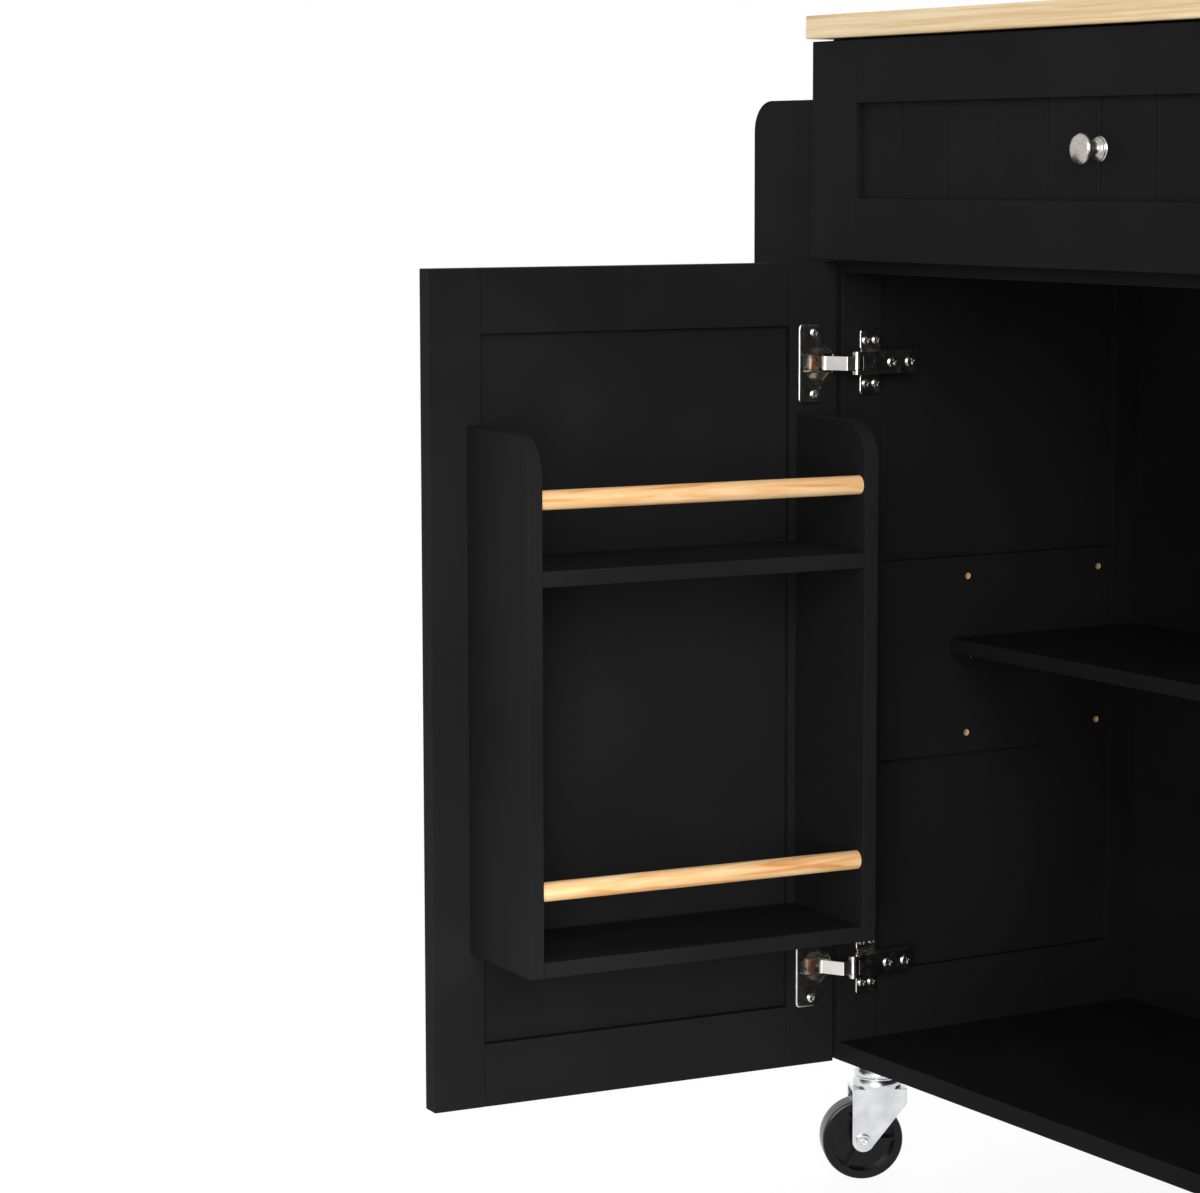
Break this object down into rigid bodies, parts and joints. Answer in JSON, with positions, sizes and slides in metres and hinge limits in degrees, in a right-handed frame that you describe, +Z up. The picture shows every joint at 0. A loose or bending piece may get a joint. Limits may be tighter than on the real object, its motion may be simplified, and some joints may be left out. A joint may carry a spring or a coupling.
{
  "type": "kitchen island",
  "caption": "Black painted kitchen island on swivel casters with a pale wood worktop, a beaded drawer, two open doors, a spice rack inside one, and a side rack.",
  "frame": {"origin": "bottom centre of the box round the whole island with both doors open, floor at z 0", "axes": "+Z up, front towards -Y, +X to the right seen from the front"},
  "size_m": [0.9906, 0.6688, 0.925],
  "materials": {
    "black_painted_wood": "satin black paint",
    "worktop_wood": "clear lacquer on pale rubberwood",
    "pine": "bare turned pine",
    "brushed_nickel": "brushed nickel plate",
    "nickel_plate": "bright nickel plate on pressed steel",
    "zinc_steel": "bright zinc plate",
    "black_nylon": "glossy moulded nylon",
    "white_nylon": "moulded nylon",
    "white_steel": "powder coat"
  },
  "bodies": {
    "cabinet": {"worktop": "worktop_wood", "left_end_stiles": "black_painted_wood", "left_end_rails": "black_painted_wood", "left_end_panels": "black_painted_wood", "right_end_stiles": "black_painted_wood", "right_end_rails": "black_painted_wood", "right_end_panels": "black_painted_wood", "back_panel": "black_painted_wood", "base_board": "black_painted_wood", "divider_board": "black_painted_wood", "top_stretchers": "black_painted_wood", "shelf": "black_painted_wood", "shelf_pins": "nickel_plate", "cabinet_runners": "white_steel", "cabinet_rollers": "white_nylon", "left_hinge_arms": "nickel_plate", "left_hinge_plates": "nickel_plate", "left_hinge_screws": "nickel_plate", "right_hinge_arms": "nickel_plate", "right_hinge_plates": "nickel_plate", "right_hinge_screws": "nickel_plate", "end_rack_sides": "black_painted_wood", "end_rack_shelves": "black_painted_wood", "end_rack_dowels": "pine", "caster_mounts": "zinc_steel"},
    "drawer": {"drawer_front_frame": "black_painted_wood", "drawer_front_panel": "black_painted_wood", "drawer_knob": "brushed_nickel", "drawer_box_boards": "black_painted_wood", "drawer_bottom": "black_painted_wood", "drawer_runners": "white_steel", "drawer_rollers": "white_nylon"},
    "left_door": {"left_door_stiles": "black_painted_wood", "left_door_rails": "black_painted_wood", "left_door_panel": "black_painted_wood", "left_door_knob": "brushed_nickel", "left_rack_sides": "black_painted_wood", "left_rack_shelves": "black_painted_wood", "left_rack_dowels": "pine", "left_hinge_cups": "nickel_plate", "left_cup_screws": "nickel_plate"},
    "left_hinge_link": {"left_hinge_links": "nickel_plate"},
    "right_door": {"right_door_stiles": "black_painted_wood", "right_door_rails": "black_painted_wood", "right_door_panel": "black_painted_wood", "right_door_knob": "brushed_nickel", "right_hinge_cups": "nickel_plate", "right_cup_screws": "nickel_plate"},
    "right_hinge_link": {"right_hinge_links": "nickel_plate"},
    "front_left_fork": {"front_left_caster_fork": "zinc_steel"},
    "front_left_wheel": {"front_left_caster_wheel": "black_nylon"},
    "front_right_fork": {"front_right_caster_fork": "zinc_steel"},
    "front_right_wheel": {"front_right_caster_wheel": "black_nylon"},
    "rear_left_fork": {"rear_left_caster_fork": "zinc_steel"},
    "rear_left_wheel": {"rear_left_caster_wheel": "black_nylon"},
    "rear_right_fork": {"rear_right_caster_fork": "zinc_steel"},
    "rear_right_wheel": {"rear_right_caster_wheel": "black_nylon"}
  },
  "joints": [
    {"name": "drawer_slide", "type": "slide", "parent": "cabinet", "child": "drawer", "axis": [0, -1, 0], "range_m": [0, 0.21]},
    {"name": "left_door_hinge", "type": "hinge", "parent": "cabinet", "child": "left_door", "pos_m": [-0.37661, 0.00978, 0.416], "axis": [0, 0, 1], "range_deg": [-11.5, 93.5]},
    {"name": "left_link_hinge", "type": "hinge", "parent": "cabinet", "child": "left_hinge_link", "pos_m": [-0.35331, 0.02438, 0.416], "axis": [0, 0, -1], "range_deg": [-2.3, 17.1]},
    {"name": "right_door_hinge", "type": "hinge", "parent": "cabinet", "child": "right_door", "pos_m": [0.31399, 0.00978, 0.416], "axis": [0, 0, -1], "range_deg": [-1, 118]},
    {"name": "right_link_hinge", "type": "hinge", "parent": "cabinet", "child": "right_hinge_link", "pos_m": [0.29069, 0.02438, 0.416], "axis": [0, 0, 1], "range_deg": [-0.4, 21.5]},
    {"name": "front_left_swivel", "type": "hinge", "parent": "cabinet", "child": "front_left_fork", "pos_m": [-0.35431, 0.04938, 0.08], "axis": [0, 0, 1], "continuous": true},
    {"name": "front_left_axle", "type": "hinge", "parent": "front_left_fork", "child": "front_left_wheel", "pos_m": [-0.36001, 0.03769, 0.0325], "axis": [-0.8988, 0.4384, 0], "continuous": true},
    {"name": "front_right_swivel", "type": "hinge", "parent": "cabinet", "child": "front_right_fork", "pos_m": [0.29169, 0.04938, 0.08], "axis": [0, 0, 1], "continuous": true},
    {"name": "front_right_axle", "type": "hinge", "parent": "front_right_fork", "child": "front_right_wheel", "pos_m": [0.28104, 0.04192, 0.0325], "axis": [-0.5736, 0.8192, 0], "continuous": true},
    {"name": "rear_left_swivel", "type": "hinge", "parent": "cabinet", "child": "rear_left_fork", "pos_m": [-0.35431, 0.30138, 0.08], "axis": [0, 0, 1], "continuous": true},
    {"name": "rear_left_axle", "type": "hinge", "parent": "rear_left_fork", "child": "rear_left_wheel", "pos_m": [-0.34987, 0.28916, 0.0325], "axis": [-0.9397, -0.342, 0], "continuous": true},
    {"name": "rear_right_swivel", "type": "hinge", "parent": "cabinet", "child": "rear_right_fork", "pos_m": [0.29169, 0.30138, 0.08], "axis": [0, 0, 1], "continuous": true},
    {"name": "rear_right_axle", "type": "hinge", "parent": "rear_right_fork", "child": "rear_right_wheel", "pos_m": [0.28943, 0.28858, 0.0325], "axis": [-0.9848, 0.1736, 0], "continuous": true}
  ],
  "couplings": [
    {"joint": "left_link_hinge", "follows": "left_door_hinge", "ratio": 0.18},
    {"joint": "right_link_hinge", "follows": "right_door_hinge", "ratio": 0.18}
  ]
}
